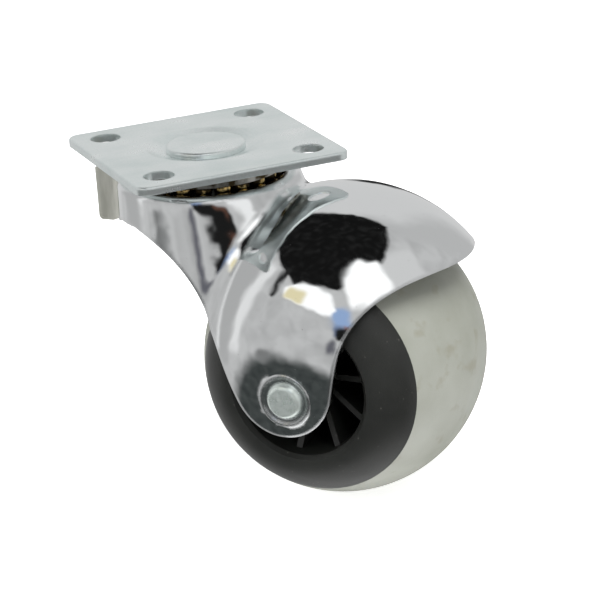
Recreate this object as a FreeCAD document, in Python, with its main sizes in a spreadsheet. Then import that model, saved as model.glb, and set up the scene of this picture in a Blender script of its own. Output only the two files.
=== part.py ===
import FreeCAD, Part

import math
import os

import Sketcher

# Hooded ball castor with a square top plate.
# Origin at the centre of the plate's top face, Z up, plate sides along X and Y.
# The fork and the wheel hang below and are turned about Z by swivel_angle at rest.

SIZES = {
    # top plate
    "plate_side": 39.5,
    "plate_thick": 1.5,
    "plate_corner_radius": 2.3,
    "plate_edge_radius": 0.45,
    "hole_spacing": 28.0,
    "hole_dia": 5.5,
    "dish_rim_radius": 10.8,
    "dish_floor_radius": 8.0,
    "dish_depth": 1.05,
    "dish_edge_radius": 1.5,
    # kingpin
    "kingpin_dia": 8.0,
    "kingpin_head_dia": 14.3,
    "kingpin_head_thick": 1.2,
    "kingpin_head_edge": 0.5,
    "kingpin_tail_dia": 11.4,
    "kingpin_tail_thick": 1.3,
    "kingpin_clearance": 0.05,
    # swivel bearing
    "ball_dia": 3.2,
    "ball_clearance": 0.03,
    "upper_pitch_radius": 12.0,
    "upper_ball_count": 22,
    "upper_race_radius": 14.2,
    "upper_race_web": 0.9,
    "upper_race_lip": 1.65,
    "upper_race_step_radius": 10.1,
    "upper_race_edge": 0.72,
    "lower_pitch_radius": 7.2,
    "lower_ball_count": 13,
    "lower_race_radius": 9.6,
    "lower_race_thick": 1.9,
    "lower_race_cover": 0.76,
    # fork sheet, cup and neck
    "sheet_thick": 1.3,
    "cup_bore_radius": 4.4,
    "cup_plateau_gap": 0.75,
    "cup_rim_radius": 14.85,
    "cup_rim_below_balls": 0.12,
    "cup_roll_radius": 1.5,
    "cup_crest": 0.2,
    "cup_shoulder_radius": 1.3,
    "neck_taper": 0.185,
    "valley_front_radius": 1.2,
    "valley_leg_radius": 12.0,
    "skirt_depth": 11.4,
    "skirt_front": 7.2,
    "skirt_rise_run": 3.6,
    "skirt_knee_depth": 14.1,
    "elbow_radius": 4.0,
    # fork hood and legs
    "hood_gap": 2.9,
    "hood_forward": 1.3,
    "hood_rise": 1.9,
    "front_arc_radius": 15.0,
    "front_arc_rise": 4.7,
    "front_run": 6.9,
    "rear_arc_radius": 22.7,
    "leg_tip_radius": 9.8,
    "leg_tip_back": 1.4,
    "leg_tip_rise": 2.5,
    "leg_rear_x": 8.8,
    "leg_rear_depth": 27.3,
    "leg_gap": 0.35,
    # seam flange behind the neck
    "seam_reach": 22.45,
    "seam_top_depth": 5.6,
    "seam_bottom_depth": 15.5,
    "seam_thick": 2.4,
    "seam_corner_radius": 0.8,
    "seam_root_radius": 3.8,
    # wheel and axle
    "swivel_angle": -48.0,
    "trail": 25.0,
    "wheel_top_depth": 12.0,
    "axle_dia": 5.0,
    "axle_clearance": 0.06,
    "axle_head_dia": 6.5,
    "axle_head_thick": 1.2,
    "axle_head_edge": 0.72,
    "axle_seat_margin": 0.3,
    "axle_seat_depth": 0.25,
    "wheel_radius": 25.0,
    "wheel_side_radius": 26.5,
    "tread_half_width": 15.4,
    "tread_thick": 4.2,
    "tyre_bed_half_width": 10.0,
    "tyre_root_depth": 1.74,
    "tyre_root_inset": 1.1,
    "cheek_half_width": 20.4,
    "cheek_bulge": 1.25,
    "cavity_radius": 12.3,
    "cavity_floor_radius": 11.5,
    "cavity_lip": 0.7,
    "web_half_thick": 1.6,
    "barrel_radius": 4.2,
    "barrel_proud": 3.45,
    "rib_count": 10,
    "rib_thick": 1.1,
    "rib_outer_drop": 2.8,
    "rib_inner_drop": 6.4,
    "rib_bite": 0.5,
    "rib_phase": 9.0,
}

doc = FreeCAD.newDocument("castor")
sheet = doc.addObject("Spreadsheet::Sheet", "sheet")
for row, (alias, value) in enumerate(SIZES.items(), start=1):
    sheet.set("A%d" % row, alias)
    sheet.set("B%d" % row, str(value))
    sheet.setAlias("B%d" % row, alias)
doc.recompute()

NODES = []


def size(alias):
    """One driving dimension, read from the sheet."""
    return float(getattr(sheet, alias))


def whole(alias):
    """A count, read from the sheet."""
    return int(round(size(alias)))


def origin_plane(body, role):
    """One of the body's own origin planes."""
    for feature in body.Origin.OriginFeatures:
        if feature.Role == role:
            return feature
    raise ValueError(role)


def new_body(label):
    """A body that becomes one node, in the document's frame."""
    body = doc.addObject("PartDesign::Body", label)
    body.Label = label
    NODES.append(body)
    return body


def new_sketch(body, name, role):
    """An empty sketch on one of the body's origin planes."""
    sketch = body.newObject("Sketcher::SketchObject", name)
    sketch.AttachmentSupport = [(origin_plane(body, role), "")]
    sketch.MapMode = "FlatFace"
    return sketch


def pin_point(sketch, geometry, end, across, up):
    """Holds one point of the sketch at two expressions of the sheet's values."""
    for kind, text in (("DistanceX", across), ("DistanceY", up)):
        value = sketch.evalExpression(text)
        if hasattr(value, "Value"):
            value = value.Value
        index = sketch.addConstraint(Sketcher.Constraint(kind, -1, 1, geometry, end, float(value)))
        sketch.setExpression("Constraints[%d]" % index, text)


def drawn_circle(sketch, radius, radius_text):
    """A circle about the sketch's origin, its radius then held at an expression."""
    flat = FreeCAD.Vector(0, 0, 1)
    circle = sketch.addGeometry(Part.Circle(FreeCAD.Vector(), flat, radius), False)
    index = sketch.addConstraint(Sketcher.Constraint("Radius", circle, radius))
    sketch.setExpression("Constraints[%d]" % index, radius_text)
    return circle


def oval_arc(start, crown, stop):
    """Part of an ellipse about the origin, from start over its crown on the X axis to stop."""
    half_width = abs(stop.y) / math.sqrt(1 - (stop.x / crown.x) ** 2)
    oval = Part.Ellipse(FreeCAD.Vector(), max(crown.x, half_width), min(crown.x, half_width))
    if half_width > crown.x:
        oval.AngleXU = math.pi / 2
    first = oval.parameter(start)
    last = oval.parameter(stop)
    return Part.ArcOfEllipse(oval, first, last if last > first else last + 2 * math.pi)


def profile(body, name, role, corners):
    """A closed outline through corners, each a pair of expressions.

    A corner with four expressions is reached by an arc through the extra point, given first.
    With the word oval before them, the arc is an ellipse's, about the origin.
    """
    sketch = new_sketch(body, name, role)

    def at(texts):
        numbers = [sketch.evalExpression(text) for text in texts]
        numbers = [getattr(number, "Value", number) for number in numbers]
        return FreeCAD.Vector(numbers[0], numbers[1], 0)

    count = len(corners)
    ends = [at(corner[-2:]) for corner in corners]
    for index in range(count):
        target = corners[(index + 1) % count]
        start = ends[index]
        stop = ends[(index + 1) % count]
        through = target[-4:-2]
        if target[0] == "oval":
            curve = oval_arc(start, at(through), stop)
        elif through:
            curve = Part.Arc(start, at(through), stop)
        else:
            curve = Part.LineSegment(start, stop)
        geometry = sketch.addGeometry(curve, False)
        # an arc's own start and end follow its sense of turning
        forwards = sketch.Geometry[geometry].StartPoint.isEqual(start, 1e-6)
        pin_point(sketch, geometry, 1 if forwards else 2, *corners[index][-2:])
        pin_point(sketch, geometry, 2 if forwards else 1, *target[-2:])
        if through:
            point = sketch.addGeometry(Part.Point(at(through)), True)
            pin_point(sketch, point, 1, *through)
            sketch.addConstraint(Sketcher.Constraint("PointOnObject", point, 1, geometry))
        if target[0] == "oval":
            sketch.addConstraint(Sketcher.Constraint("Coincident", geometry, 3, -1, 1))
    return sketch


def revolve(body, sketch, cut=False):
    """Turns a profile about the sketch's vertical axis, adding to the body or cutting it."""
    kind = "PartDesign::Groove" if cut else "PartDesign::Revolution"
    turned = body.newObject(kind, sketch.Name + "_turned")
    turned.Profile = sketch
    turned.ReferenceAxis = (sketch, ["V_Axis"])
    turned.Angle = 360.0
    sketch.Visibility = False
    doc.recompute()
    return turned


def round_edges(body, name, wanted, radius_text):
    """Rounds the edges of the body's last feature that wanted(edge) picks."""
    doc.recompute()
    base = body.Tip
    picked = ["Edge%d" % (k + 1) for k, edge in enumerate(base.Shape.Edges) if wanted(edge)]
    if not picked:
        raise ValueError("no edge to round for " + name)
    fillet = body.newObject("PartDesign::Fillet", name)
    fillet.Base = (base, picked)
    fillet.setExpression("Radius", radius_text)
    doc.recompute()
    return fillet


def is_circle(edge, radius, height, tolerance=1e-4):
    """True for a circle about the vertical axis with this radius and height."""
    curve = edge.Curve
    return (
        curve.TypeId == "Part::GeomCircle"
        and abs(curve.Radius - radius) < tolerance
        and abs(curve.Center.z - height) < tolerance
    )


def hang_on_fork(part, forward="0", drop="0"):
    """Turns a piece drawn in the fork's frame about the kingpin, and hangs it at the axle if that is given."""
    part.Placement = FreeCAD.Placement(FreeCAD.Vector(), FreeCAD.Rotation(FreeCAD.Vector(0, 0, 1), 1.0))
    part.setExpression("Placement.Rotation.Angle", "sheet.swivel_angle")
    part.setExpression("Placement.Base.x", "(%s) * cos(sheet.swivel_angle)" % forward)
    part.setExpression("Placement.Base.y", "(%s) * sin(sheet.swivel_angle)" % forward)
    part.setExpression("Placement.Base.z", "-(%s)" % drop)


# Heights of the swivel bearing, all measured down from the plate's top face.
DISH_UNDERSIDE = "sheet.dish_depth + sheet.plate_thick"
BALL_RUN = "(sheet.ball_dia / 2 + sheet.ball_clearance)"
UPPER_BALL_DEPTH = "(%s + sheet.upper_race_web + %s)" % (DISH_UNDERSIDE, BALL_RUN)
PLATEAU_DEPTH = "(%s + sheet.upper_race_web + sheet.cup_plateau_gap)" % DISH_UNDERSIDE
LOWER_BALL_DEPTH = "(%s + sheet.sheet_thick + %s)" % (PLATEAU_DEPTH, BALL_RUN)
LOWER_RACE_TOP = "(%s + sheet.lower_race_cover)" % LOWER_BALL_DEPTH
LOWER_RACE_BOTTOM = "(%s + sheet.lower_race_thick)" % LOWER_RACE_TOP

# The wheel's top stands this far below the plate, so a larger wheel hangs lower.
AXLE_DROP = "(sheet.wheel_top_depth + sheet.wheel_radius)"


def depth_of(text):
    """The number of one of the heights above."""
    value = sheet.evalExpression(text.replace("sheet.", ""))
    return float(getattr(value, "Value", value))


def make_top_plate():
    """Square pressed plate: rounded corners, four holes, a shallow dish with the kingpin's hole."""
    body = new_body("top_plate")
    half = "sheet.plate_side / 2"
    blank = profile(
        body,
        "plate_outline",
        "XY_Plane",
        [("-" + half, "-" + half), (half, "-" + half), (half, half), ("-" + half, half)],
    )
    pad = body.newObject("PartDesign::Pad", "plate_blank")
    pad.Profile = blank
    pad.Reversed = True
    pad.setExpression("Length", "sheet.plate_thick")
    doc.recompute()
    thick = size("plate_thick")

    def upright(edge):
        return abs(edge.BoundBox.ZLength - thick) < 1e-6 and edge.BoundBox.XLength < 1e-6

    round_edges(body, "plate_corners", upright, "sheet.plate_corner_radius")

    # the dish keeps the sheet's thickness, so its lower corners step out by this much
    step = "tan(atan(sheet.dish_depth / (sheet.dish_rim_radius - sheet.dish_floor_radius)) / 2)"
    step += " * sheet.plate_thick"
    below = profile(
        body,
        "dish_below",
        "XZ_Plane",
        [
            ("0", "-sheet.plate_thick"),
            ("sheet.dish_rim_radius + " + step, "-sheet.plate_thick"),
            ("sheet.dish_floor_radius + " + step, "-(%s)" % DISH_UNDERSIDE),
            ("0", "-(%s)" % DISH_UNDERSIDE),
        ],
    )
    revolve(body, below)
    above = profile(
        body,
        "dish_above",
        "XZ_Plane",
        [
            ("0", "0"),
            ("sheet.dish_rim_radius", "0"),
            ("sheet.dish_floor_radius", "-sheet.dish_depth"),
            ("0", "-sheet.dish_depth"),
        ],
    )
    revolve(body, above, cut=True)

    def dish_edge(edge):
        return is_circle(edge, size("dish_rim_radius"), 0.0)

    round_edges(body, "dish_edge", dish_edge, "sheet.dish_edge_radius")

    centre = new_sketch(body, "kingpin_hole", "XY_Plane")
    circle = drawn_circle(centre, size("kingpin_dia") / 2, "sheet.kingpin_dia / 2 + sheet.kingpin_clearance")
    centre.addConstraint(Sketcher.Constraint("Coincident", circle, 3, -1, 1))
    bore = body.newObject("PartDesign::Pocket", "kingpin_bore")
    bore.Profile = centre
    bore.Type = "ThroughAll"
    bore.Midplane = True
    doc.recompute()

    corner = new_sketch(body, "fixing_hole", "XY_Plane")
    circle = drawn_circle(corner, size("hole_dia") / 2, "sheet.hole_dia / 2")
    pin_point(corner, circle, 3, "sheet.hole_spacing / 2", "sheet.hole_spacing / 2")
    drilled = body.newObject("PartDesign::Pocket", "fixing_hole_cut")
    drilled.Profile = corner
    drilled.Type = "ThroughAll"
    drilled.Midplane = True
    doc.recompute()
    four = body.newObject("PartDesign::PolarPattern", "fixing_holes")
    four.Originals = [drilled]
    four.Axis = (corner, ["N_Axis"])
    four.Angle = 360.0
    four.Occurrences = 4
    body.Tip = four
    doc.recompute()

    half_side = size("plate_side") / 2

    def top_rim(edge):
        box = edge.BoundBox
        reach = max(abs(box.XMin), abs(box.XMax), abs(box.YMin), abs(box.YMax))
        return abs(box.ZMin) < 1e-6 and abs(box.ZMax) < 1e-6 and abs(reach - half_side) < 1e-6

    round_edges(body, "plate_rim", top_rim, "sheet.plate_edge_radius")


def make_kingpin():
    """Swivel rivet: broad flat head in the dish, plain shank, swaged tail under the lower race."""
    body = new_body("kingpin")
    head_top = "sheet.kingpin_head_thick - sheet.dish_depth"
    shank = "sheet.kingpin_dia / 2"
    sketch = profile(
        body,
        "kingpin_profile",
        "XZ_Plane",
        [
            ("0", head_top),
            ("sheet.kingpin_head_dia / 2", head_top),
            ("sheet.kingpin_head_dia / 2", "-sheet.dish_depth"),
            (shank, "-sheet.dish_depth"),
            (shank, "-" + LOWER_RACE_BOTTOM),
            ("sheet.kingpin_tail_dia / 2", "-" + LOWER_RACE_BOTTOM),
            ("sheet.kingpin_tail_dia / 2 - sheet.kingpin_head_edge",
             "-(%s + sheet.kingpin_tail_thick)" % LOWER_RACE_BOTTOM),
            ("0", "-(%s + sheet.kingpin_tail_thick)" % LOWER_RACE_BOTTOM),
        ],
    )
    revolve(body, sketch)
    top = size("kingpin_head_thick") - size("dish_depth")
    radius = size("kingpin_head_dia") / 2

    def head_rim(edge):
        return is_circle(edge, radius, top)

    round_edges(body, "kingpin_head_rim", head_rim, "sheet.kingpin_head_edge")


def cut_ball_track(body, pitch, depth):
    """Cuts the balls' track, a ring of round section a little larger than the balls."""
    sketch = new_sketch(body, body.Name + "_track", "XZ_Plane")
    circle = drawn_circle(sketch, size("ball_dia") / 2, BALL_RUN)
    pin_point(sketch, circle, 3, pitch, "-" + depth)
    revolve(body, sketch, cut=True)


def make_upper_race():
    """Ring under the plate's dish, with the upper balls' track in its lip."""
    body = new_body("upper_race")
    bore = "sheet.kingpin_dia / 2 + sheet.kingpin_clearance"
    top = "-(%s)" % DISH_UNDERSIDE
    web = "-(%s + sheet.upper_race_web)" % DISH_UNDERSIDE
    lip = "-(%s + sheet.upper_race_lip)" % DISH_UNDERSIDE
    sketch = profile(
        body,
        "upper_race_profile",
        "XZ_Plane",
        [
            (bore, top),
            ("sheet.upper_race_radius", top),
            ("sheet.upper_race_radius", lip),
            ("sheet.upper_race_step_radius", lip),
            ("sheet.upper_race_step_radius", web),
            (bore, web),
        ],
    )
    revolve(body, sketch)
    height = -size("dish_depth") - size("plate_thick")

    def outer_rim(edge):
        return is_circle(edge, size("upper_race_radius"), height)

    round_edges(body, "upper_race_rim", outer_rim, "sheet.upper_race_edge")
    cut_ball_track(body, "sheet.upper_pitch_radius", UPPER_BALL_DEPTH)


def make_lower_race():
    """Ring on the kingpin's tail, with the lower balls' track in its upper face."""
    body = new_body("lower_race")
    bore = "sheet.kingpin_dia / 2 + sheet.kingpin_clearance"
    sketch = profile(
        body,
        "lower_race_profile",
        "XZ_Plane",
        [
            (bore, "-" + LOWER_RACE_TOP),
            ("sheet.lower_race_radius", "-" + LOWER_RACE_TOP),
            ("sheet.lower_race_radius", "-" + LOWER_RACE_BOTTOM),
            (bore, "-" + LOWER_RACE_BOTTOM),
        ],
    )
    revolve(body, sketch)
    cut_ball_track(body, "sheet.lower_pitch_radius", LOWER_BALL_DEPTH)


def make_ball_row(prefix, count, pitch, depth):
    """One full row of loose balls, each its own piece."""
    for number in range(count):
        label = "%s_%02d" % (prefix, number + 1)
        ball = doc.addObject("Part::Sphere", label)
        ball.Label = label
        ball.setExpression("Radius", "sheet.ball_dia / 2")
        turn = "%d * 360 / %s" % (number, count)
        ball.setExpression("Placement.Base.x", "%s * cos(%s)" % (pitch, turn))
        ball.setExpression("Placement.Base.y", "%s * sin(%s)" % (pitch, turn))
        ball.setExpression("Placement.Base.z", "-" + depth)
        NODES.append(ball)


CUP_TOP = -(depth_of(UPPER_BALL_DEPTH) + size("cup_rim_below_balls"))

# The cup's wall turns down from its crest over a rounded shoulder.
NECK_RADIUS = size("cup_rim_radius") + size("cup_crest") + size("cup_shoulder_radius")

# The hub's barrel stands proud of its cheeks, and runs between the legs.
HUB_HALF_LENGTH = "(sheet.cheek_half_width + sheet.barrel_proud)"

# The legs are flattened round the axle: the rivet's heads seat on the flats, outside.
AXLE_SEAT = "(%s + sheet.leg_gap + sheet.sheet_thick)" % HUB_HALF_LENGTH


def hood_half(inset, top, floor):
    """The near half of the fork's form, shrunk by inset: a spheroid dome and a cone for the neck.

    The cone leans forward as it widens, so its back stands upright. The valley where it meets the
    dome is hollowed by a fillet that is tight in front and grows wide towards the leg.
    """
    reach = size("wheel_radius") + size("hood_gap") + size("sheet_thick") - inset
    half_width = depth_of(AXLE_SEAT) + size("axle_seat_depth") - inset
    centre = FreeCAD.Vector(
        size("trail") + size("hood_forward"), 0, size("hood_rise") - depth_of(AXLE_DROP)
    )
    side = centre - FreeCAD.Vector(0, half_width, 0)
    front = centre + FreeCAD.Vector(reach, 0, 0)
    quarter = Part.BSplineCurve()
    quarter.buildFromPolesMultsKnots(
        [side, side + front - centre, front], [3, 3], [0, 1], False, 2, [1, math.sqrt(0.5), 1]
    )
    outline = [quarter.toShape(), Part.makeLine(front, centre), Part.makeLine(centre, side)]
    dome = Part.Face(Part.Wire(outline)).revolve(centre, FreeCAD.Vector(0, 1, 0), 360)

    def ring(height):
        widening = size("neck_taper") * (CUP_TOP - height)
        radius = NECK_RADIUS - inset + widening
        circle = Part.Circle(FreeCAD.Vector(widening, 0, height), FreeCAD.Vector(0, 0, 1), radius)
        return Part.Wire([circle.toShape()])

    room = 4 * reach
    near_side = Part.makeBox(room, room, room, FreeCAD.Vector(-room / 2, -room, -room / 2))
    neck = Part.makeLoft([ring(floor), ring(top)], True, True).common(near_side)
    half = dome.fuse(neck).removeSplitter()
    valley = [
        edge for edge in half.Edges
        if edge.Length > 1.0 and edge.BoundBox.YLength > 1e-6 and edge.BoundBox.ZLength > 1e-3
    ]
    front_radius = size("valley_front_radius") + inset
    leg_radius = size("valley_leg_radius") + inset
    return half.makeFillet(front_radius, leg_radius, valley)


def both_halves(half):
    """A half and its mirror image as one solid."""
    return half.fuse(half.mirror(FreeCAD.Vector(), FreeCAD.Vector(0, 1, 0))).removeSplitter()


def on_circle(centre, radius, degrees):
    """A point in the XZ plane on a circle."""
    turn = math.radians(degrees)
    return centre + FreeCAD.Vector(math.cos(turn), 0, math.sin(turn)) * radius


def arc_between(centre, radius, first, last):
    """A circular arc in the XZ plane, by its end angles in degrees."""
    middle = on_circle(centre, radius, (first + last) / 2)
    return Part.Arc(on_circle(centre, radius, first), middle, on_circle(centre, radius, last)).toShape()


def closed_face(edges):
    """A face bounded by edges in order, with straight runs where one ends apart from the next."""
    run = []
    for edge, following in zip(edges, edges[1:] + edges[:1]):
        stop = edge.valueAt(edge.LastParameter)
        start = following.valueAt(following.FirstParameter)
        run.append(edge)
        if stop.distanceToPoint(start) > 1e-6:
            run.append(Part.makeLine(stop, start))
    return Part.Face(Part.Wire(run))


def crossing(first, first_radius, second, second_radius):
    """Heading and lean, in degrees, of the line that crosses over from one circle to the other."""
    gap = second - first
    heading = math.degrees(math.atan2(gap.z, gap.x))
    lean = math.degrees(math.asin((first_radius + second_radius) / gap.Length))
    return heading, lean


def cup_pan():
    """The pan of the swivel cup: plateau over the lower balls, trough under the upper, rolled rim."""
    thick = size("sheet_thick")
    track = size("ball_dia") / 2 + size("ball_clearance")
    roll = size("cup_roll_radius")
    plateau = FreeCAD.Vector(size("lower_pitch_radius"), 0, -depth_of(LOWER_BALL_DEPTH))
    trough = FreeCAD.Vector(size("upper_pitch_radius"), 0, -depth_of(UPPER_BALL_DEPTH))
    rim = FreeCAD.Vector(size("cup_rim_radius"), 0, CUP_TOP - roll)
    heading, lean = crossing(plateau, track + thick, trough, track)
    fall = heading - lean + 90.0
    heading, lean = crossing(trough, track, rim, roll)
    climb = heading + lean - 90.0
    bore = size("cup_bore_radius")
    above = [
        arc_between(plateau, track + thick, 90.0, fall),
        arc_between(trough, track, fall - 180.0, climb),
        arc_between(rim, roll, climb + 180.0, 90.0),
    ]
    below = [
        arc_between(rim, roll - thick, 90.0, climb + 180.0),
        arc_between(trough, track + thick, climb, fall - 180.0),
        arc_between(plateau, track, fall, 90.0),
    ]
    eye = Part.makeLine(
        FreeCAD.Vector(bore, 0, plateau.z + track),
        FreeCAD.Vector(bore, 0, plateau.z + track + thick),
    )
    return closed_face(above + below + [eye]).revolve(FreeCAD.Vector(), FreeCAD.Vector(0, 0, 1), 360)


def seam_root_x():
    """Where the flange's hollow root ends: the arc touches the flange's face and the round wall."""
    root = size("seam_root_radius")
    return -math.sqrt((NECK_RADIUS + root) ** 2 - (size("seam_thick") / 2 + root) ** 2)


def seam_flange():
    """The two-ply flange behind the neck, with hollow roots where the sheet turns out of the wall."""
    half = size("seam_thick") / 2
    root = size("seam_root_radius")
    tip = -size("seam_reach")
    bottom = -size("seam_bottom_depth")
    height = size("seam_bottom_depth") - size("seam_top_depth")
    inner = size("sheet_thick") / 2 - NECK_RADIUS

    def hollow(side):
        centre = FreeCAD.Vector(seam_root_x(), side * (half + root), bottom)
        out = FreeCAD.Vector(0, -side, 0)
        into_wall = FreeCAD.Vector(-centre.x, -centre.y, 0).normalize()
        midway = (out + into_wall).normalize()
        return [centre + way * root for way in (out, midway, into_wall)]

    near = hollow(-1)
    far = hollow(1)
    corners = [
        near[0],
        FreeCAD.Vector(tip, -half, bottom),
        FreeCAD.Vector(tip, half, bottom),
        far[0],
    ]
    bed = [
        far[2],
        FreeCAD.Vector(inner, far[2].y, bottom),
        FreeCAD.Vector(inner, near[2].y, bottom),
        near[2],
    ]
    edges = Part.makePolygon(corners).Edges + [Part.Arc(*far).toShape()]
    edges += Part.makePolygon(bed).Edges + [Part.Arc(*reversed(near)).toShape()]
    flange = Part.Face(Part.Wire(edges)).extrude(FreeCAD.Vector(0, 0, height))
    corner = [
        edge for edge in flange.Edges
        if edge.BoundBox.XMax < tip + 1e-6 and edge.BoundBox.ZMax < bottom + 1e-6
    ]
    return flange.makeFillet(size("seam_corner_radius"), corner)


def side_outline():
    """The side view that the pressing is trimmed to, as a prism right across it."""
    drop = depth_of(AXLE_DROP)
    tip = FreeCAD.Vector(size("trail") - size("leg_tip_back"), 0, size("leg_tip_rise") - drop)
    tip_radius = size("leg_tip_radius")
    front_radius = size("front_arc_radius")
    # the front edge is hollow, with a straight run from the leg's round end
    above_tip = size("front_arc_rise") - size("leg_tip_rise")
    apart = math.hypot(tip_radius + front_radius, size("front_run"))
    front = tip + FreeCAD.Vector(math.sqrt(apart ** 2 - above_tip ** 2), 0, above_tip)
    heading, lean = crossing(tip, tip_radius, front, front_radius)
    rise = heading + lean
    # the leg's back edge is straight, from the elbow to the round end
    elbow = FreeCAD.Vector(size("leg_rear_x"), 0, -size("leg_rear_depth"))
    across = tip - elbow
    slope = math.degrees(math.atan2(across.z, across.x))
    slope -= math.degrees(math.asin(tip_radius / across.Length))
    # the back of the neck is hollow, from the skirt to the elbow
    skirt = FreeCAD.Vector(-size("skirt_front"), 0, -size("skirt_depth"))
    rear_radius = size("rear_arc_radius")
    chord = elbow - skirt
    middle = (elbow + skirt) / 2
    inward = FreeCAD.Vector(chord.z, 0, -chord.x).normalize()
    rear = middle + inward * math.sqrt(rear_radius ** 2 - (chord.Length / 2) ** 2)
    start = math.degrees(math.atan2(skirt.z - rear.z, skirt.x - rear.x))
    # a small arc rounds the elbow, tangent to the hollow and to the back edge
    elbow_radius = size("elbow_radius")
    along = on_circle(FreeCAD.Vector(), 1.0, slope)
    into_sheet = on_circle(FreeCAD.Vector(), 1.0, slope + 90.0)
    foot = elbow + along * (rear - elbow).dot(along)
    beside = (foot - rear).dot(into_sheet)
    past_foot = math.sqrt((rear_radius + elbow_radius) ** 2 - (beside + elbow_radius) ** 2)
    turn = foot + along * past_foot + into_sheet * elbow_radius
    stop = math.degrees(math.atan2(turn.z - rear.z, turn.x - rear.x))
    above = size("plate_thick")
    back = -2 * size("seam_reach")
    ahead = size("trail") + 2 * size("wheel_radius")
    wall = -NECK_RADIUS
    seam_foot = -size("seam_bottom_depth")
    knee = FreeCAD.Vector(wall + size("sheet_thick") / 2, 0, -size("skirt_knee_depth"))
    corners = [
        FreeCAD.Vector(ahead, 0, front.z + front_radius),
        FreeCAD.Vector(ahead, 0, above),
        FreeCAD.Vector(back, 0, above),
        FreeCAD.Vector(back, 0, seam_foot),
        FreeCAD.Vector(seam_root_x(), 0, seam_foot),
        knee,
        FreeCAD.Vector(wall + size("skirt_rise_run"), 0, skirt.z),
    ]
    edges = [
        arc_between(rear, rear_radius, start, stop),
        arc_between(turn, elbow_radius, stop - 180.0, slope - 90.0),
        arc_between(tip, tip_radius, slope - 90.0, rise - 90.0),
        arc_between(front, front_radius, rise + 90.0, 90.0),
    ]
    face = closed_face(edges + Part.makePolygon(corners).Edges)
    prism = face.extrude(FreeCAD.Vector(0, 2 * ahead, 0))
    prism.translate(FreeCAD.Vector(0, -ahead, 0))
    return prism


def make_fork():
    """The chrome-plated pressing: cup, neck, hood and two legs from one sheet of even thickness."""
    thick = size("sheet_thick")
    floor = size("leg_tip_rise") - depth_of(AXLE_DROP) - size("leg_tip_radius") - 2 * thick
    outer = hood_half(0.0, CUP_TOP, floor)
    rim = [
        edge for edge in outer.Edges
        if edge.BoundBox.ZMin > CUP_TOP - 1e-4 and edge.BoundBox.YLength > 1e-6
    ]
    outer = both_halves(outer.makeFillet(size("cup_shoulder_radius"), rim))
    inner = both_halves(hood_half(thick, CUP_TOP - thick, floor - thick))
    mouth = Part.makeCylinder(size("cup_rim_radius"), 3 * thick, FreeCAD.Vector(0, 0, CUP_TOP - 2 * thick))
    shell = outer.cut(inner).cut(mouth)
    shell = shell.fuse([cup_pan(), seam_flange()]).common(side_outline())
    seat = depth_of(AXLE_SEAT)
    for side in (-1, 1):
        inside = FreeCAD.Vector(size("trail"), side * (seat - thick), -depth_of(AXLE_DROP))
        outwards = FreeCAD.Vector(0, side, 0)
        radius = size("barrel_radius") + size("axle_seat_margin")
        flat = Part.makeCylinder(radius, thick, inside, outwards)
        cleared = Part.makeCylinder(radius, 4 * thick, inside - outwards * thick, outwards)
        hole = Part.makeCylinder(size("axle_dia") / 2 + size("axle_clearance"), thick, inside, outwards)
        shell = shell.cut(cleared).fuse(flat).cut(hole)
    shell = shell.removeSplitter()
    fork = doc.addObject("Part::Feature", "fork")
    fork.Label = "fork"
    fork.Shape = shell.Solids[0] if len(shell.Solids) == 1 else shell
    hang_on_fork(fork)
    NODES.append(fork)


def make_axle_rivet():
    """Plain rivet through legs and hub, with a low head at each end."""
    body = new_body("axle_rivet")
    shank = "sheet.axle_dia / 2"
    head = "sheet.axle_head_dia / 2"
    end = "(%s + sheet.axle_head_thick)" % AXLE_SEAT
    sketch = profile(
        body,
        "axle_rivet_profile",
        "XY_Plane",
        [
            ("0", "-" + end),
            (head, "-" + end),
            (head, "-" + AXLE_SEAT),
            (shank, "-" + AXLE_SEAT),
            (shank, AXLE_SEAT),
            (head, AXLE_SEAT),
            (head, end),
            ("0", end),
        ],
    )
    revolve(body, sketch)
    half = depth_of(end)

    def head_rim(edge):
        box = edge.BoundBox
        return edge.Curve.TypeId == "Part::GeomCircle" and abs(abs(box.YMin) - half) < 1e-6

    round_edges(body, "axle_rivet_rims", head_rim, "sheet.axle_head_edge")
    hang_on_fork(body, "sheet.trail", AXLE_DROP)


# Where the grey band ends on the ball: its radius from the axle there.
TREAD_EDGE = "(sheet.wheel_radius * sqrt(1 - (sheet.tread_half_width / sheet.wheel_side_radius) ^ 2))"

# The band is bedded in the hub: a level bed under the tread, and a root at each edge.
TYRE_BED_RADIUS = "(sheet.wheel_radius - sheet.tread_thick)"
TYRE_ROOT_RADIUS = "(%s - sheet.tyre_root_depth)" % TREAD_EDGE
TYRE_ROOT_HALF_WIDTH = "(sheet.tread_half_width - sheet.tyre_root_inset)"


def make_tyre():
    """Grey rubber band, bedded in the hub's rim."""
    body = new_body("tyre")
    sketch = profile(
        body,
        "tyre_profile",
        "XY_Plane",
        [
            (TYRE_ROOT_RADIUS, "-" + TYRE_ROOT_HALF_WIDTH),
            (TREAD_EDGE, "-sheet.tread_half_width"),
            ("oval", "sheet.wheel_radius", "0", TREAD_EDGE, "sheet.tread_half_width"),
            (TYRE_ROOT_RADIUS, TYRE_ROOT_HALF_WIDTH),
            (TYRE_BED_RADIUS, "sheet.tyre_bed_half_width"),
            (TYRE_BED_RADIUS, "-sheet.tyre_bed_half_width"),
        ],
    )
    revolve(body, sketch)
    hang_on_fork(body, "sheet.trail", AXLE_DROP)


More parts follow.
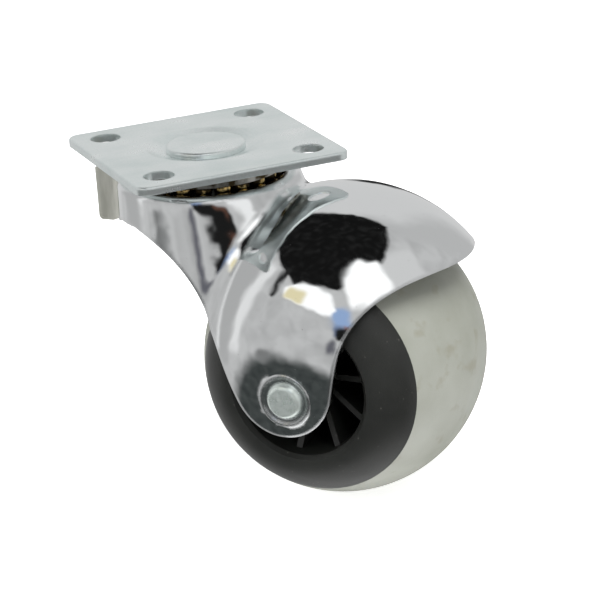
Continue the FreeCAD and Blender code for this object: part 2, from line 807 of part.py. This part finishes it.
def make_wheel_hub():
    """Black moulded hub: rim under the tyre, rounded cheeks, ribbed cavities, long barrel."""
    body = new_body("wheel_hub")
    bore = "sheet.axle_dia / 2 + sheet.axle_clearance"
    cheek_y = "((sheet.tread_half_width + sheet.cheek_half_width) / 2 + sheet.cheek_bulge)"
    cheek_r = "(%s + sheet.cavity_radius + sheet.cavity_lip) / 2" % TREAD_EDGE
    # each cavity's lip is a small bevel, from its wall to the cheek
    lip_foot = "(sheet.cheek_half_width - sheet.cavity_lip)"
    lip_r = "(sheet.cavity_radius + sheet.cavity_lip)"
    sketch = profile(
        body,
        "hub_profile",
        "XY_Plane",
        [
            (bore, "-" + HUB_HALF_LENGTH),
            ("sheet.barrel_radius", "-" + HUB_HALF_LENGTH),
            ("sheet.barrel_radius", "-sheet.web_half_thick"),
            ("sheet.cavity_floor_radius", "-sheet.web_half_thick"),
            ("sheet.cavity_radius", "-" + lip_foot),
            (lip_r, "-sheet.cheek_half_width"),
            (cheek_r, "-" + cheek_y, TREAD_EDGE, "-sheet.tread_half_width"),
            (TYRE_ROOT_RADIUS, "-" + TYRE_ROOT_HALF_WIDTH),
            (TYRE_BED_RADIUS, "-sheet.tyre_bed_half_width"),
            (TYRE_BED_RADIUS, "sheet.tyre_bed_half_width"),
            (TYRE_ROOT_RADIUS, TYRE_ROOT_HALF_WIDTH),
            (TREAD_EDGE, "sheet.tread_half_width"),
            (cheek_r, cheek_y, lip_r, "sheet.cheek_half_width"),
            ("sheet.cavity_radius", lip_foot),
            ("sheet.cavity_floor_radius", "sheet.web_half_thick"),
            ("sheet.barrel_radius", "sheet.web_half_thick"),
            ("sheet.barrel_radius", HUB_HALF_LENGTH),
            (bore, HUB_HALF_LENGTH),
        ],
    )
    revolve(body, sketch)

    # one rib is drawn across both cavities, and bites into the barrel and the cavity wall
    root = "sheet.barrel_radius - sheet.rib_bite"
    tip = "sheet.cavity_radius + sheet.rib_bite"
    inner_half_width = "(sheet.cheek_half_width - sheet.rib_inner_drop)"
    outer_half_width = "(sheet.cheek_half_width - sheet.rib_outer_drop)"
    rib = profile(
        body,
        "rib_outline",
        "XY_Plane",
        [
            (root, "-" + inner_half_width),
            (tip, "-" + outer_half_width),
            (tip, outer_half_width),
            (root, inner_half_width),
        ],
    )
    upright = FreeCAD.Vector(0, -1, 0)
    rib.AttachmentOffset = FreeCAD.Placement(FreeCAD.Vector(), FreeCAD.Rotation(upright, 1.0))
    rib.setExpression("AttachmentOffset.Rotation.Angle", "sheet.rib_phase")
    pad = body.newObject("PartDesign::Pad", "rib")
    pad.Profile = rib
    pad.Midplane = True
    pad.setExpression("Length", "sheet.rib_thick")
    doc.recompute()
    ribs = body.newObject("PartDesign::PolarPattern", "ribs")
    ribs.Originals = [pad]
    ribs.Axis = (rib, ["V_Axis"])
    ribs.Angle = 360.0
    ribs.setExpression("Occurrences", "sheet.rib_count")
    body.Tip = ribs
    doc.recompute()
    hang_on_fork(body, "sheet.trail", AXLE_DROP)


make_top_plate()
make_kingpin()
make_upper_race()
make_lower_race()
make_ball_row("upper_ball", whole("upper_ball_count"), "sheet.upper_pitch_radius", UPPER_BALL_DEPTH)
make_ball_row("lower_ball", whole("lower_ball_count"), "sheet.lower_pitch_radius", LOWER_BALL_DEPTH)
make_fork()
make_axle_rivet()
make_tyre()
make_wheel_hub()
doc.recompute()

for item in doc.Objects:
    if "Invalid" in item.State or "Error" in item.State:
        raise RuntimeError("%s did not build: %s" % (item.Label, item.State))
os.makedirs("parts", exist_ok=True)
for node in NODES:
    shape = node.Shape
    if shape.isNull() or not shape.isValid():
        raise RuntimeError(node.Label + " has no valid shape")
    print(node.Label, len(shape.Solids), "solid", round(shape.Volume, 2), "mm3")
    shape.exportStep("parts/%s.step" % node.Label)
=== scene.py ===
from math import cos, pi, radians, sin

import bmesh
import bpy
from mathutils import Matrix, Vector


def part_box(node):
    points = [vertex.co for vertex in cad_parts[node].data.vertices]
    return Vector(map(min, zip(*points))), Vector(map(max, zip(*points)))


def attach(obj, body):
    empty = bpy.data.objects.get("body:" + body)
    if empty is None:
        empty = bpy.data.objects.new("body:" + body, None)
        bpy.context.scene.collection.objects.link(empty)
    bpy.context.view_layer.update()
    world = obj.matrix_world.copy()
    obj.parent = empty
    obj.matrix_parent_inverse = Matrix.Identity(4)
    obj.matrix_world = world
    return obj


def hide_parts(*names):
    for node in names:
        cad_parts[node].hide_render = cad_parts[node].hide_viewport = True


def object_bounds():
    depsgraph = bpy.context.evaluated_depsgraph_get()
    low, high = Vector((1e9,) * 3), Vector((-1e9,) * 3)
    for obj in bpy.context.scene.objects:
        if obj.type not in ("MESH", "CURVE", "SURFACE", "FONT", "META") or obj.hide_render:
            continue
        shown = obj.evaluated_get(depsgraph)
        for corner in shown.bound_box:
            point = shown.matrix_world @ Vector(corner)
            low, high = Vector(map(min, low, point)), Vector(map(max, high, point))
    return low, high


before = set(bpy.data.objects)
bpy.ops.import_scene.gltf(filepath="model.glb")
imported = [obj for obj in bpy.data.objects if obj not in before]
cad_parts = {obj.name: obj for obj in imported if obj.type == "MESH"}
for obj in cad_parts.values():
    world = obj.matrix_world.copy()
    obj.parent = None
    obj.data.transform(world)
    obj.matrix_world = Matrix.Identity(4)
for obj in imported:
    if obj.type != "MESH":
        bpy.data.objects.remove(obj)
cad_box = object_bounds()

# The camera stands a little above the plate, to the left of the wheel, as the photograph was taken.
# Its roll is the small tilt of the castor in the picture.
camera_azimuth = radians(-21.57)
camera_elevation = radians(19.26)
camera_roll = radians(-4.01)
camera_place = Vector((-0.16797, -0.46533, 0.14199))
camera_lens_mm = 172.9
camera_sensor_mm = 36.0
camera_nearest = 0.01

backwards = Vector((
    sin(camera_azimuth) * cos(camera_elevation),
    -cos(camera_azimuth) * cos(camera_elevation),
    sin(camera_elevation),
))
level = Vector((cos(camera_azimuth), sin(camera_azimuth), 0.0))
upright = backwards.cross(level)
picture_right = level * cos(camera_roll) + upright * sin(camera_roll)
picture_up = upright * cos(camera_roll) - level * sin(camera_roll)
camera = bpy.data.objects.new("camera", bpy.data.cameras.new("camera"))
camera.data.sensor_width = camera_sensor_mm
camera.data.lens = camera_lens_mm
camera.data.clip_start = camera_nearest
camera.matrix_world = Matrix((picture_right, picture_up, backwards)).transposed().to_4x4()
camera.location = camera_place
bpy.context.scene.collection.objects.link(camera)
bpy.context.scene.camera = camera
bpy.context.scene.view_settings.view_transform = "Standard"


# The studio is a light tent of pale grey cloth with a dark opening overhead and two softboxes beside it.
# Bright, grey, dark and coloured cards stand round the castor, with a painted shadow under the castor low
# on the left.
# The backdrop behind the castor is plain white.
def add(tree, kind, inputs=None, **settings):
    """One node: its settings, then its inputs by name or number, each a value or another node's output."""
    node = tree.nodes.new("ShaderNode" + kind)
    for name, value in settings.items():
        setattr(node, name, value)
    for socket, value in (inputs or {}).items():
        if isinstance(value, bpy.types.NodeSocket):
            tree.links.new(value, node.inputs[socket])
        else:
            node.inputs[socket].default_value = value
    return node


def number(tree, operation, first, second=0.0, third=0.0):
    """The output of one sum on up to three numbers."""
    return add(tree, "Math", {0: first, 1: second, 2: third}, operation=operation).outputs[0]


def spread(tree, value, low, high, to_low=0.0, to_high=1.0, soft=False):
    """A value's range from low to high, brought to another range."""
    kind = "SMOOTHSTEP" if soft else "LINEAR"
    return add(tree, "MapRange", {
        "Value": value, "From Min": low, "From Max": high, "To Min": to_low, "To Max": to_high,
    }, interpolation_type=kind).outputs[0]


def along(tree, direction, axis):
    """How far a direction points along an axis."""
    return add(tree, "VectorMath", {0: direction, 1: axis}, operation="DOT_PRODUCT").outputs["Value"]


def mixed(tree, share, below, above, label=""):
    """Two colours mixed: below where share is 0, above where it is 1. The label says what above is."""
    # In a mix of colours, inputs 6 and 7 are the two colours, and output 2 is the result.
    return add(tree, "Mix", {0: share, 6: below, 7: above}, data_type="RGBA", label=label).outputs[2]


def grey(value):
    """A neutral colour."""
    return (value, value, value, 1.0)


def towards(azimuth, elevation):
    """A direction: azimuth in degrees from -Y towards +X, elevation in degrees up."""
    turn, rise = radians(azimuth), radians(elevation)
    return Vector((sin(turn) * cos(rise), -cos(turn) * cos(rise), sin(rise)))


def card(tree, direction, ragged, azimuth, elevation, width, height, roll, soft):
    """How much of an upright card, in degrees, a direction meets: 1 on the card, 0 off it."""
    ahead = towards(azimuth, elevation)
    across = ahead.cross(Vector((0, 0, 1))).normalized()
    above = across.cross(ahead)
    turn = radians(roll)
    before = along(tree, direction, ahead)
    share = number(tree, "GREATER_THAN", before, 0.0)
    sides = (across * cos(turn) + above * sin(turn), above * cos(turn) - across * sin(turn))
    for side, extent in zip(sides, (width, height)):
        angle = number(tree, "ARCTAN2", along(tree, direction, side), before)
        off = number(tree, "ADD", number(tree, "ABSOLUTE", angle), ragged)
        inner, outer = radians(extent - soft) / 2, radians(extent + soft) / 2
        share = number(tree, "MULTIPLY", share, spread(tree, off, inner, outer, 1.0, 0.0, soft=True))
    return share


def panel(tree, direction, ragged, corners, soft):
    """How much of a flat panel overhead a direction meets. Its corners are x and y at a height of one."""
    middle = sum((Vector((*corner, 1.0)) for corner in corners), Vector()) / len(corners)
    share = number(tree, "GREATER_THAN", along(tree, direction, (0, 0, 1)), 0.0)
    for first, second in zip(corners, corners[1:] + corners[:1]):
        inwards = Vector((*first, 1.0)).cross(Vector((*second, 1.0))).normalized()
        if inwards.dot(middle) < 0:
            inwards.negate()
        inside = number(tree, "SUBTRACT", along(tree, direction, inwards), ragged)
        edge = spread(tree, inside, -radians(soft) / 2, radians(soft) / 2, soft=True)
        share = number(tree, "MULTIPLY", share, edge)
    return share


world = bpy.data.worlds.new("light tent")
bpy.context.scene.world = world
world.use_nodes = True
tent = world.node_tree
tent.nodes.clear()
direction = add(tent, "TexCoord").outputs["Generated"]
creases = add(tent, "TexNoise", {"Vector": direction, "Scale": 5.0, "Detail": 3.0}).outputs[0]
raggedness = 0.08
ragged = number(tent, "MULTIPLY_ADD", creases, raggedness, -raggedness / 2)
seen = mixed(tent, spread(tent, creases, 0.35, 0.65), grey(0.44), grey(0.56), "cloth")


def hang(seen, cards):
    """What is seen once these cards hang in the tent, a later one in front of an earlier one."""
    for name, *place, colour in cards:
        seen = mixed(tent, card(tent, direction, ragged, *place), seen, colour, name)
    return seen


# Each card has its azimuth, elevation, width, height, roll and softness in degrees, and its colour.
seen = hang(seen, (
    ("grey card on the right", 116, 20, 40, 90, 0, 8, grey(0.50)),
    ("grey card behind", 166, 25, 76, 90, 0, 14, grey(0.64)),
    ("narrow dark card behind", 153, -4, 6, 16, 0, 3, grey(0.02)),
    ("glow by the softbox", 22, 54, 44, 26, 0, 8, grey(0.64)),
    ("white card on the left", -114, 18, 9, 50, 4, 5, grey(0.80)),
    ("grey card on the far left", -136, 10, 30, 50, 0, 8, grey(0.44)),
    ("dark card low in front", -5, -28, 80, 50, 0, 10, grey(0.06)),
    ("small grey card", -92, -3, 6, 3, 0, 3, grey(0.26)),
    ("blue card", -40, 27, 13, 14, 0, 5, (0.30, 0.42, 0.66, 1)),
    ("dark blue card", -43, 19, 8, 9, 0, 4, (0.13, 0.16, 0.24, 1)),
    ("brown card", -35, 20, 5, 6, 0, 3, (0.28, 0.12, 0.07, 1)),
    ("small dark card", -46, 9, 6, 8, 0, 4, (0.13, 0.13, 0.15, 1)),
    ("wide dark card", -22, 16, 43, 10, 5, 3, grey(0.012)),
    ("dark brown strip", -11, 18.5, 14, 3, 5, 3, (0.11, 0.055, 0.04, 1)),
    ("bright strip", 14, 23, 28, 11, 20, 5, grey(0.90)),
))

# A round dark patch low on the left is a painted shadow under the castor, which shiny surfaces reflect. The
# white sheet straight below lies over it.
shadow_middle = towards(-77, -40)
shadow_inner = radians(34)
shadow_outer = radians(43)
shadow_angle = number(tent, "ARCCOSINE", along(tent, direction, shadow_middle))
shadow_edge = number(tent, "ADD", shadow_angle, ragged)
painted_shadow = spread(tent, shadow_edge, shadow_inner, shadow_outer, 1.0, 0.0, soft=True)
grit = add(tent, "TexNoise", {"Vector": direction, "Scale": 16.0, "Detail": 5.0}).outputs[0]
# The painted shadow is near black, mottled a little by grit.
shadow_dark = (0.036, 0.041, 0.041, 1)
shadow_light = (0.070, 0.078, 0.076, 1)
shadow_colour = mixed(tent, spread(tent, grit, 0.3, 0.7), shadow_dark, shadow_light)
seen = mixed(tent, painted_shadow, seen, shadow_colour, "painted_shadow")
sheet_outer_cosine = 0.84
sheet_inner_cosine = 0.90
sheet = spread(tent, along(tent, direction, (0, 0, -1)), sheet_outer_cosine, sheet_inner_cosine, soft=True)
seen = mixed(tent, sheet, seen, grey(1.0), "white sheet")

# The opening and the softboxes overhead, each with its softness in degrees, its colour and its corners.
darkness = mixed(tent, spread(tent, grit, 0.50, 0.72), grey(0.007), grey(0.020))
overhead = (
    ("opening", 1.5, darkness, (
        (-0.50, 0.80), (-0.16, 0.74), (0.43, 0.10), (0.15, -0.50), (-0.75, -0.74), (-1.12, -0.10),
        (-1.00, 0.27),
    )),
    ("softbox", 5.0, grey(1.25), (
        (-0.47, -0.53), (-0.18, -0.37), (0.10, -0.45), (0.10, -1.05), (-0.37, -1.30), (-0.80, -1.25),
    )),
    ("small softbox", 2.0, grey(1.15), (
        (-1.28, 0.06), (-1.03, -0.18), (-0.88, -0.50), (-0.90, -0.82), (-1.10, -1.16), (-1.50, -1.30),
        (-1.66, -0.10),
    )),
)
for name, soft, colour, corners in overhead:
    seen = mixed(tent, panel(tent, direction, ragged, corners, soft), seen, colour, name)
seen = hang(seen, (
    ("narrow dark card on the left", -98, 38, 5, 20, 0, 2, grey(0.02)),
    ("warm card", -79, 35.5, 15, 8, 0, 4, (0.80, 0.72, 0.46, 1)),
))

is_camera = add(tent, "LightPath").outputs["Is Camera Ray"]
seen = mixed(tent, is_camera, seen, grey(1.0), "backdrop")
background = add(tent, "Background", {"Color": seen, "Strength": 1.0})
add(tent, "OutputWorld", {"Surface": background.outputs[0]})


def soft_light(name, azimuth, elevation, distance, width, power):
    """A square lamp aimed at the castor, this far off in metres, that mirrors don't show."""
    lamp = bpy.data.objects.new(name, bpy.data.lights.new(name, "AREA"))
    lamp.data.energy = power
    lamp.data.size = width
    lamp.location = towards(azimuth, elevation) * distance
    lamp.rotation_euler = towards(azimuth, elevation).to_track_quat("Z", "Y").to_euler()
    lamp.visible_glossy = False
    bpy.context.scene.collection.objects.link(lamp)


soft_light("key light", azimuth=10.0, elevation=62.0, distance=0.6, width=0.35, power=4.0)
soft_light("side light", azimuth=-95.0, elevation=25.0, distance=0.6, width=0.4, power=1.2)

# The floor is a plain white sheet under the wheel. Mirrors see the tent's sheet and the painted shadow in
# its place.
floor_material = bpy.data.materials.new("white sheet")
floor_material.use_nodes = True
tree = floor_material.node_tree
tree.nodes.clear()
paper = add(tree, "BsdfDiffuse", {"Color": grey(0.92)})
glow = add(tree, "Emission", {"Color": grey(1.0), "Strength": 0.7})
lit = add(tree, "AddShader", {0: paper.outputs[0], 1: glow.outputs[0]})
add(tree, "OutputMaterial", {"Surface": lit.outputs[0]})
floor_mesh = bpy.data.meshes.new("floor")
floor_reach = 3.0
floor_level = cad_box[0][2]
floor_mesh.from_pydata(
    [(x * floor_reach, y * floor_reach, floor_level) for x, y in ((-1, -1), (1, -1), (1, 1), (-1, 1))],
    [],
    [(0, 1, 2, 3)],
)
floor = bpy.data.objects.new("floor", floor_mesh)
floor.data.materials.append(floor_material)
floor.visible_glossy = False
bpy.context.scene.collection.objects.link(floor)


# The top plate is pressed from sheet steel and zinc plated. The plating is a cool grey satin, finely
# grained, with faint rubbed streaks and a few dull stains. The kingpin's head has the same plating.
def new_material(name):
    """A material with one shader and an output, and its tree and shader."""
    material = bpy.data.materials.new(name)
    material.use_nodes = True
    tree = material.node_tree
    return material, tree, tree.nodes["Principled BSDF"]


def noise(tree, scale, detail, stretch=(1.0, 1.0, 1.0), turn=0.0):
    """Noise on the piece's own coordinates, in features per metre, stretched and turned about Z."""
    place = add(tree, "TexCoord").outputs["Object"]
    mapped = add(tree, "Mapping", {"Vector": place, "Rotation": (0, 0, turn), "Scale": stretch})
    return add(tree, "TexNoise", {"Vector": mapped.outputs[0], "Scale": scale, "Detail": detail}).outputs[0]


edge_samples = 4


def bump(tree, shader, height, depth, strength, edge=0.0):
    """Relief of this depth in metres on a shader, over edges softened to a radius."""
    relief = add(tree, "Bump", {"Height": height, "Distance": depth, "Strength": strength})
    if edge:
        soft_edge = add(tree, "Bevel", {"Radius": edge}, samples=edge_samples)
        tree.links.new(soft_edge.outputs[0], relief.inputs["Normal"])
    tree.links.new(relief.outputs[0], shader.inputs["Normal"])


def set_inputs(tree, shader, **inputs):
    """Sets or links a shader's inputs, named with underscores for spaces."""
    for name, value in inputs.items():
        socket = shader.inputs[name.replace("_", " ")]
        if isinstance(value, bpy.types.NodeSocket):
            tree.links.new(value, socket)
        else:
            socket.default_value = value


def dress(node, material):
    """Gives a carried-over solid its material."""
    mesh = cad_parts[node].data
    mesh.materials.clear()
    mesh.materials.append(material)


zinc, tree, shader = new_material("zinc plating")
dull_zinc = (0.72, 0.80, 0.79, 1)
bright_zinc = (0.92, 0.955, 0.95, 1)
clouds = noise(tree, scale=90.0, detail=5.0)
grain = noise(tree, scale=2600.0, detail=3.0)
streaks = noise(tree, scale=240.0, detail=4.0, stretch=(0.12, 1.0, 1.0), turn=radians(20))
clouds_share = 0.50
streaks_share = 0.25
grain_share = 0.25
tone = number(tree, "MULTIPLY_ADD", streaks, streaks_share, number(tree, "MULTIPLY", clouds, clouds_share))
tone = number(tree, "MULTIPLY_ADD", grain, grain_share, tone)
set_inputs(
    tree, shader,
    Base_Color=mixed(tree, spread(tree, tone, 0.35, 0.65), dull_zinc, bright_zinc),
    Metallic=0.92,
    Roughness=spread(tree, tone, 0.3, 0.7, 0.36, 0.24),
)
bump(tree, shader, grain, depth=0.00002, strength=0.3, edge=0.0004)
dress("top_plate", zinc)
dress("kingpin", zinc)


# The races are plain rings of zinc-plated steel, one on each side of the fork's cup. They are dulled by the
# grease that works out of the balls.
race_steel, tree, shader = new_material("greasy race")
bare_race = (0.55, 0.54, 0.50, 1)
race_grease = (0.09, 0.065, 0.03, 1)
smears = noise(tree, scale=400.0, detail=4.0)
set_inputs(
    tree, shader,
    Base_Color=mixed(tree, spread(tree, smears, 0.45, 0.62), bare_race, race_grease),
    Metallic=1.0,
    Roughness=spread(tree, smears, 0.3, 0.7, 0.3, 0.5),
)
dress("upper_race", race_steel)
dress("lower_race", race_steel)


# The balls are hardened steel, loose and packed in amber grease. Random patches are near black, partly dark
# grease and partly painted shade of the narrow gap they sit in.
ball_steel, tree, shader = new_material("greased ball")
amber_grease = (0.80, 0.58, 0.24, 1)
grease_and_painted_shade = (0.035, 0.025, 0.012, 1)
grease_and_shade_mask = noise(tree, scale=700.0, detail=3.0)
set_inputs(
    tree, shader,
    # The near-black share is dark grease together with painted shade of the gap between plate and cup.
    Base_Color=mixed(tree, spread(tree, grease_and_shade_mask, 0.36, 0.50), amber_grease, grease_and_painted_shade),
    Metallic=1.0,
    Roughness=spread(tree, grease_and_shade_mask, 0.4, 0.6, 0.16, 0.42),
)
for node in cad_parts:
    if "_ball_" in node:
        dress(node, ball_steel)


# The fork is drawn from one steel sheet and chrome plated. The plating is a mirror with the slight waves
# of the pressing, and small pits and dust. The welded seam flange behind was never polished.
chrome, tree, shader = new_material("chrome plating")
clean_chrome = (0.88, 0.895, 0.90, 1)
pit_grey = (0.45, 0.45, 0.44, 1)
waves = noise(tree, scale=110.0, detail=2.0)
pits = noise(tree, scale=2200.0, detail=2.0)
pitted = spread(tree, pits, 0.74, 0.80)
set_inputs(
    tree, shader,
    Base_Color=mixed(tree, pitted, clean_chrome, pit_grey),
    Metallic=1.0,
    Roughness=spread(tree, pitted, 0.0, 1.0, 0.035, 0.35),
)
bump(tree, shader, waves, depth=0.0006, strength=0.3, edge=0.0009)

seam_steel, tree, shader = new_material("unpolished seam")
dark_seam = (0.42, 0.42, 0.37, 1)
light_seam = (0.64, 0.64, 0.58, 1)
brushed = noise(tree, scale=500.0, detail=3.0, stretch=(1.0, 1.0, 0.15))
set_inputs(
    tree, shader,
    Base_Color=mixed(tree, spread(tree, brushed, 0.35, 0.65), dark_seam, light_seam),
    Metallic=0.6,
    Roughness=0.45,
)
bump(tree, shader, brushed, depth=0.00005, strength=0.5)


weld_distance = 2e-6


def smooth_copy(node, name, sharp_degrees):
    """A copy of a solid with its faces joined up, smooth wherever it turns by less than an angle."""
    piece = bpy.data.objects.new(name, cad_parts[node].data.copy())
    edit = bmesh.new()
    edit.from_mesh(piece.data)
    bmesh.ops.remove_doubles(edit, verts=edit.verts, dist=weld_distance)
    edit.to_mesh(piece.data)
    edit.free()
    piece.data.shade_smooth()
    piece.data.set_sharp_from_angle(angle=radians(sharp_degrees))
    bpy.context.scene.collection.objects.link(piece)
    return piece


fork_shell = smooth_copy("fork", "fork_shell", sharp_degrees=32.0)
fork_shell.data.materials.clear()
fork_shell.data.materials.append(chrome)
fork_shell.data.materials.append(seam_steel)
seam_slot = 1
fork_heading = radians(-48.0)
forwards = Vector((cos(fork_heading), sin(fork_heading), 0.0))
# The seam flange begins this far behind the kingpin's axis.
seam_root = -0.0172
for face in fork_shell.data.polygons:
    if face.center.dot(forwards) < seam_root:
        face.material_index = seam_slot
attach(fork_shell, "fork")
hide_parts("fork")


# Each leg is coined to a flat round seat where the rivet's head bears on it, with a low bead round the
# flat. The bead is pressed out of the same chrome-plated sheet.
sideways = Vector((-sin(fork_heading), cos(fork_heading), 0.0))
rivet_low, rivet_high = (Vector(corner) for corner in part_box("axle_rivet"))
axle_centre = (rivet_low + rivet_high) / 2
ring_steps = 96


def turn_on_axle(edit, section, side, closed):
    """Turns a section about the axle. Each point is a distance out to one side and a radius."""
    turns = [2 * pi * step / ring_steps for step in range(ring_steps)]
    rings = []
    for distance, radius in section:
        middle = axle_centre + sideways * side * distance
        if radius == 0.0:
            rings.append([edit.verts.new(middle)] * ring_steps)
            continue
        rings.append([
            edit.verts.new(middle + forwards * radius * cos(turn) + Vector((0, 0, radius * sin(turn))))
            for turn in turns
        ])
    following = rings[1:] + rings[:1] if closed else rings[1:]
    for first, second in zip(rings, following):
        for step in range(ring_steps):
            after = (step + 1) % ring_steps
            corners = dict.fromkeys((first[step], second[step], second[after], first[after]))
            edit.faces.new(tuple(corners))


def turned_piece(name, edit, material, sharp_degrees):
    """A finished piece from turned rings, its faces outwards and smooth but for its sharp corners."""
    bmesh.ops.recalc_face_normals(edit, faces=edit.faces)
    mesh = bpy.data.meshes.new(name)
    edit.to_mesh(mesh)
    edit.free()
    mesh.shade_smooth()
    mesh.set_sharp_from_angle(angle=radians(sharp_degrees))
    mesh.materials.append(material)
    piece = bpy.data.objects.new(name, mesh)
    bpy.context.scene.collection.objects.link(piece)
    return piece


seat_distance = 0.0255
seat_bore = 0.0031
seat_skirt = 0.0051
seat_depth = 0.0009
seat_proud = 0.00003
bead_radius = 0.0045
bead_width = 0.00036
bead_height = 0.00020
bead_steps = 8
bead_turns = [pi * step / bead_steps for step in range(bead_steps + 1)]
bead = [
    (seat_distance + bead_height * sin(turn), bead_radius - bead_width * cos(turn)) for turn in bead_turns
]
seat_section = [
    (seat_distance - seat_depth, seat_bore),
    (seat_distance + seat_proud, seat_bore),
    *bead,
    (seat_distance - seat_depth, seat_skirt),
]
seat_edit = bmesh.new()
for side in (-1, 1):
    turn_on_axle(seat_edit, seat_section, side, closed=True)
axle_seats = turned_piece("axle_seats", seat_edit, chrome, sharp_degrees=50.0)
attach(axle_seats, "fork")


# The axle is a plain steel rivet, its two ends set into low round heads, bright from the setting tool.
# The heads are crowned, and stand on the legs' coined seats.
rivet_steel, tree, shader = new_material("set rivet")
bright_rivet = (0.64, 0.70, 0.67, 1)
freckle_grey = (0.54, 0.60, 0.57, 1)
freckles = noise(tree, scale=900.0, detail=4.0)
set_inputs(
    tree, shader,
    Base_Color=mixed(tree, spread(tree, freckles, 0.4, 0.62), bright_rivet, freckle_grey),
    Metallic=0.7,
    Roughness=spread(tree, freckles, 0.3, 0.7, 0.20, 0.30),
)
bump(tree, shader, freckles, depth=0.00003, strength=0.4)
dress("axle_rivet", rivet_steel)

rivet_end = 0.0267
head_radius = 0.00325
shoulder_radius = 0.0011
face_crown = 0.00012
face_radius = head_radius - shoulder_radius
shank_radius = 0.0025
shoulder_steps = 10
shoulder_turns = [pi / 2 * step / shoulder_steps for step in range(shoulder_steps + 1)]
shoulder = [
    (rivet_end - face_crown - shoulder_radius * (1 - cos(turn)), face_radius + shoulder_radius * sin(turn))
    for turn in shoulder_turns
]
half_rivet = [(rivet_end, 0.0), *shoulder, (seat_distance, head_radius), (seat_distance, shank_radius)]
rivet_section = half_rivet + [(-distance, radius) for distance, radius in reversed(half_rivet)]
rivet_edit = bmesh.new()
turn_on_axle(rivet_edit, rivet_section, 1, closed=False)
crowned_rivet = turned_piece("crowned_rivet", rivet_edit, rivet_steel, sharp_degrees=40.0)
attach(crowned_rivet, "fork")
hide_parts("axle_rivet")


# The tread is a grey rubber band moulded round the hub. It is matt, a little greenish, and smudged
# by handling.
rubber, tree, shader = new_material("grey rubber")
light_rubber = (0.300, 0.308, 0.275, 1)
smudged_rubber = (0.240, 0.248, 0.212, 1)
mark_brown = (0.19, 0.18, 0.13, 1)
smudges = noise(tree, scale=55.0, detail=5.0)
marks = noise(tree, scale=260.0, detail=3.0)
texture = noise(tree, scale=3800.0, detail=2.0)
clean = mixed(tree, spread(tree, smudges, 0.40, 0.66), light_rubber, smudged_rubber)
set_inputs(
    tree, shader,
    Base_Color=mixed(tree, spread(tree, marks, 0.60, 0.74, 0.0, 0.45), clean, mark_brown),
    Roughness=spread(tree, smudges, 0.3, 0.7, 0.50, 0.66),
    Specular_IOR_Level=0.4,
)
bump(tree, shader, texture, depth=0.00003, strength=0.6)
dress("tyre", rubber)


# The hub is moulded in black plastic with a fine spark texture, a little dusty, under the grey band.
plastic, tree, shader = new_material("black plastic")
deep_black = (0.010, 0.0105, 0.0095, 1)
handled_black = (0.018, 0.019, 0.017, 1)
dust_grey = (0.16, 0.155, 0.14, 1)
dust = noise(tree, scale=1500.0, detail=3.0)
handled = noise(tree, scale=70.0, detail=4.0)
spark = noise(tree, scale=5200.0, detail=2.0)
matt = mixed(tree, spread(tree, handled, 0.3, 0.7), deep_black, handled_black)
set_inputs(
    tree, shader,
    Base_Color=mixed(tree, spread(tree, dust, 0.70, 0.78, 0.0, 0.5), matt, dust_grey),
    Roughness=spread(tree, handled, 0.3, 0.7, 0.30, 0.40),
)
bump(tree, shader, spark, depth=0.00003, strength=0.5)
dress("wheel_hub", plastic)
